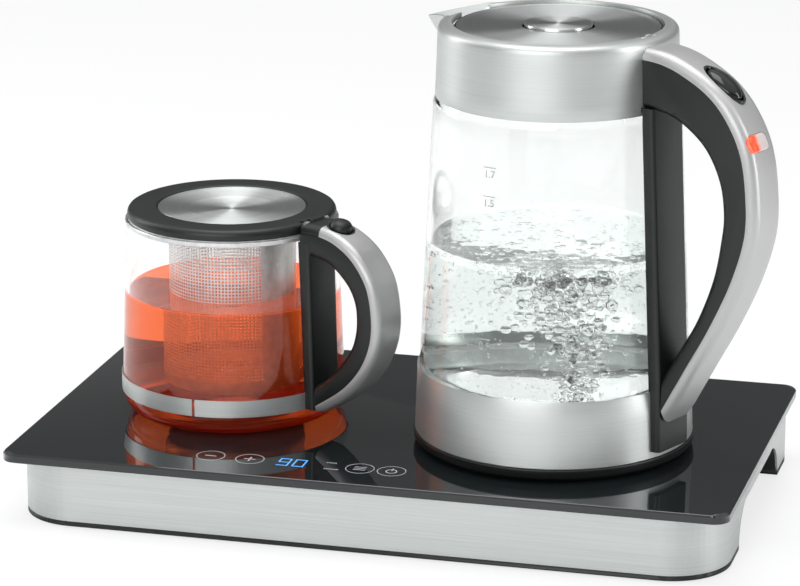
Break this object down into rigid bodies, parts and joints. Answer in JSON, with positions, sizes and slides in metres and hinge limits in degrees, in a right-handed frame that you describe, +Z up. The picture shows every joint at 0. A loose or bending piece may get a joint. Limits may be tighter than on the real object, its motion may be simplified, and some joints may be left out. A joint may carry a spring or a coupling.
{
  "type": "tea maker",
  "caption": "Electric tea maker: a glass kettle with steel collar and a glass teapot with infuser stand on a flat black glass base that heats and keeps warm.",
  "frame": {"origin": "on the table under the middle of the whole outline", "axes": "+Z up, +X to the right along the long side of the base, +Y to the back"},
  "size_m": [0.419, 0.236, 0.2792],
  "materials": {
    "black_glass": "polished black glass",
    "clear_glass": "clear borosilicate glass",
    "steel": "brushed stainless steel",
    "black_plastic": "satin black plastic",
    "gloss_black": "gloss black plastic",
    "silver_paint": "satin silver paint",
    "rubber": "matt black rubber",
    "silicone": "clear-white silicone",
    "aluminium": "plain sheet aluminium",
    "brass": "plain brass",
    "lamp": "clear red lamp window",
    "board": "green circuit board",
    "zinc": "zinc-plated steel"
  },
  "bodies": {
    "base": {"glass_top": "black_glass", "steel_band": "steel", "rear_panel": "black_plastic", "housing": "black_plastic", "rubber_feet": "rubber", "deck": "black_plastic", "housing_screws": "zinc", "warming_plate": "aluminium", "warming_element": "zinc", "warming_brace": "zinc", "heat_sensor": "brass", "control_board": "board", "touch_springs": "zinc", "display": "gloss_black", "power_board": "board", "cord_gland": "rubber", "connector_seat": "black_plastic", "connector": "black_plastic", "contact_pin": "brass"},
    "kettle_socket": {"kettle_socket": "black_plastic"},
    "kettle": {"foot_ring": "black_plastic", "base_pan": "black_plastic", "thermostat": "black_plastic", "heater_floor": "steel", "heater_wall": "steel", "heating_element": "aluminium", "lower_seal": "silicone", "base_shell": "steel", "kettle_glass": "clear_glass", "upper_seal": "silicone", "steel_collar": "steel", "spout_lip": "steel", "spout_filter": "black_plastic", "lid_hinge_block": "black_plastic", "lid_hinge_pin": "zinc", "handle_spine": "black_plastic", "handle_grip": "black_plastic", "handle_cap": "silver_paint", "lid_press_well": "gloss_black", "lamp_lens": "lamp"},
    "kettle_lid": {"lid_frame": "black_plastic", "lid_cover": "steel", "lid_button_plate": "steel", "lid_plug": "black_plastic"},
    "kettle_press": {"lid_press": "gloss_black"},
    "teapot": {"pot_glass": "clear_glass", "pot_clamp": "steel", "pot_neck_ring": "steel", "pot_spine": "black_plastic", "pot_grip": "black_plastic", "pot_cap": "silver_paint", "pot_hinge_pin": "zinc", "pot_press_well": "gloss_black"},
    "pot_lid": {"pot_lid_ring": "gloss_black", "pot_lid_disc": "steel", "pot_lid_cone": "black_plastic"},
    "pot_press": {"pot_press": "gloss_black"},
    "infuser": {"infuser_basket": "steel"}
  },
  "joints": [
    {"name": "kettle_lift", "type": "slide", "parent": "base", "child": "kettle_socket", "axis": [0, 0, 1], "range_m": [0, 0.15]},
    {"name": "kettle_turn", "type": "hinge", "parent": "kettle_socket", "child": "kettle", "pos_m": [0.081, -0.0152, 0.05], "axis": [0, 0, 1], "range_deg": [-90, 140]},
    {"name": "kettle_lid_hinge", "type": "hinge", "parent": "kettle", "child": "kettle_lid", "pos_m": [0.13465, -0.03853, 0.277], "axis": [0.3987, 0.9171, 0], "range_deg": [0, 85]},
    {"name": "kettle_lid_press", "type": "slide", "parent": "kettle", "child": "kettle_press", "axis": [-0.4851, 0.2109, -0.8486], "range_m": [0, 0.003], "stiffness_N_per_m": 300},
    {"name": "teapot_lift", "type": "slide", "parent": "base", "child": "teapot", "axis": [0, 0, 1], "range_m": [0, 0.15]},
    {"name": "teapot_lid_hinge", "type": "hinge", "parent": "teapot", "child": "pot_lid", "pos_m": [-0.0531, -0.02422, 0.1602], "axis": [0.3987, 0.9171, 0], "range_deg": [0, 85]},
    {"name": "teapot_lid_press", "type": "slide", "parent": "teapot", "child": "pot_press", "axis": [-0.2751, 0.1196, -0.9539], "range_m": [0, 0.0025], "stiffness_N_per_m": 300},
    {"name": "infuser_turn", "type": "hinge", "parent": "teapot", "child": "infuser", "pos_m": [-0.1095, 0.0003, 0.1], "axis": [0, 0, 1], "continuous": true}
  ]
}
